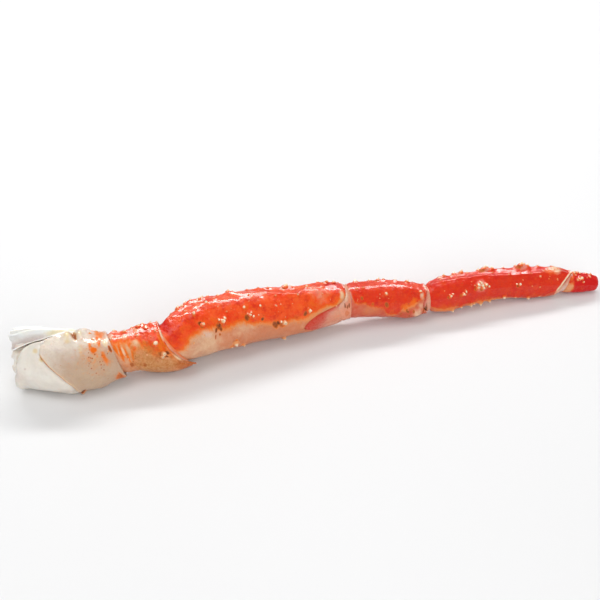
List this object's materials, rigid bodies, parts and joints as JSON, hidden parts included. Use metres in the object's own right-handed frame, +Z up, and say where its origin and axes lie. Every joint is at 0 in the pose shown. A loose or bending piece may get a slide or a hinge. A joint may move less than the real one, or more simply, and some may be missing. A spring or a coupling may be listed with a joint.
{
  "type": "king crab leg",
  "caption": "Cooked king crab walking leg lying on its side: torn white shoulder end, spiny red shell segments with an ivory underside, soft joint membranes and a blunt toe.",
  "frame": {"origin": "middle of the leg's footprint, on the surface it lies on", "axes": "+X from the torn shoulder end towards the toe, +Y towards the leg's far side, away from the side that shows, +Z up"},
  "size_m": [0.4462, 0.0532, 0.0439],
  "materials": {
    "red_shell": "wet, slightly glossy cooked crab shell, orange-red on the back and ivory under the belly",
    "ivory_shell": "smooth ivory shell with orange freckles near the first joint",
    "white_shell": "smooth white shell plate, faintly glossy",
    "white_skin": "torn white skin in long folds",
    "flesh": "moist white crab meat with fine fibres",
    "membrane": "moist pinkish joint membrane, slightly see-through"
  },
  "bodies": {
    "root": {"shoulder_meat": "flesh", "shoulder_plate": "white_shell", "shoulder_flap": "white_skin", "coxa": "ivory_shell", "ischium": "red_shell", "merus": "red_shell", "carpus": "red_shell", "propodus": "red_shell", "dactylus": "red_shell", "membrane_ischium_merus": "membrane", "membrane_merus_carpus": "membrane", "membrane_carpus_propodus": "membrane", "membrane_propodus_dactylus": "membrane"}
  },
  "joints": []
}
